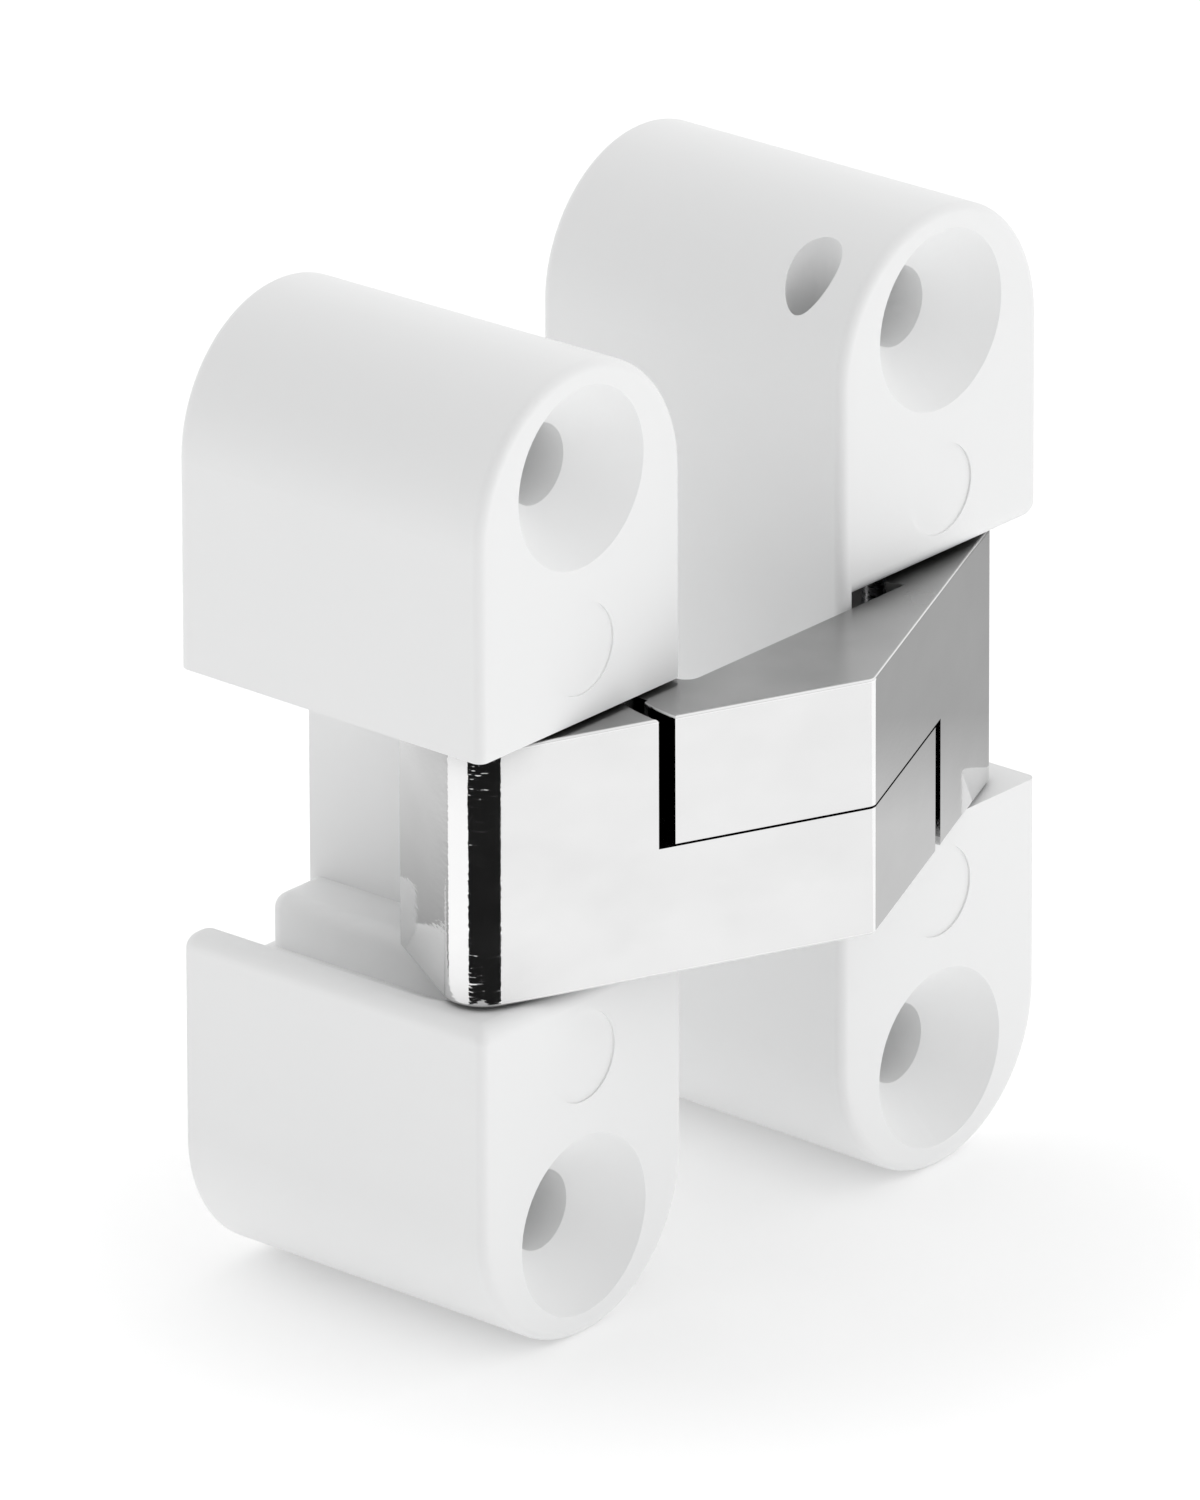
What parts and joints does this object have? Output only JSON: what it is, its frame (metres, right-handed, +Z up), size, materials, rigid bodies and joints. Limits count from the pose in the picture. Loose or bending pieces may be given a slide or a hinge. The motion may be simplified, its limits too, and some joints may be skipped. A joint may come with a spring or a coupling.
{
  "type": "concealed door hinge",
  "caption": "Concealed hinge with two moulded round-ended bodies joined by two crossed, half-lapped metal arms that fold into slots as the door shuts.",
  "frame": {"origin": "centre of the bounding box's bottom face, with the hinge open at 180 degrees and standing on its two lower round ends", "axes": "+Z up along the bodies' height, +X from the left body to the right body, +Y from the faces into the bodies"},
  "size_m": [0.0498, 0.0314, 0.06],
  "materials": {
    "white_plastic": "satin white moulded plastic",
    "chrome_zinc": "polished chrome on cast zinc",
    "steel_pin": "turned steel"
  },
  "bodies": {
    "left_body": {"left_body": "white_plastic", "left_pivot_pin": "steel_pin"},
    "arm_b": {"arm_b": "chrome_zinc", "centre_pin": "steel_pin", "right_slide_pin": "steel_pin"},
    "arm_a": {"arm_a": "chrome_zinc", "left_slide_pin": "steel_pin"},
    "right_body": {"right_body": "white_plastic", "right_pivot_pin": "steel_pin"}
  },
  "joints": [
    {"name": "left_pivot", "type": "hinge", "parent": "left_body", "child": "arm_b", "pos_m": [-0.00965, -0.00315, 0.03], "axis": [0, 0, 1], "range_deg": [-112.89, 0]},
    {"name": "arm_cross_pivot", "type": "hinge", "parent": "arm_b", "child": "arm_a", "pos_m": [0, -0.01135, 0.03], "axis": [0, 0, 1], "range_deg": [0, 45.79]},
    {"name": "right_pivot", "type": "hinge", "parent": "arm_a", "child": "right_body", "pos_m": [0.00965, -0.00315, 0.03], "axis": [0, 0, 1], "range_deg": [-112.89, 0]}
  ],
  "couplings": [
    {"joint": "arm_cross_pivot", "follows": "left_pivot", "ratio": -0.40553},
    {"joint": "right_pivot", "follows": "left_pivot", "ratio": 1}
  ]
}
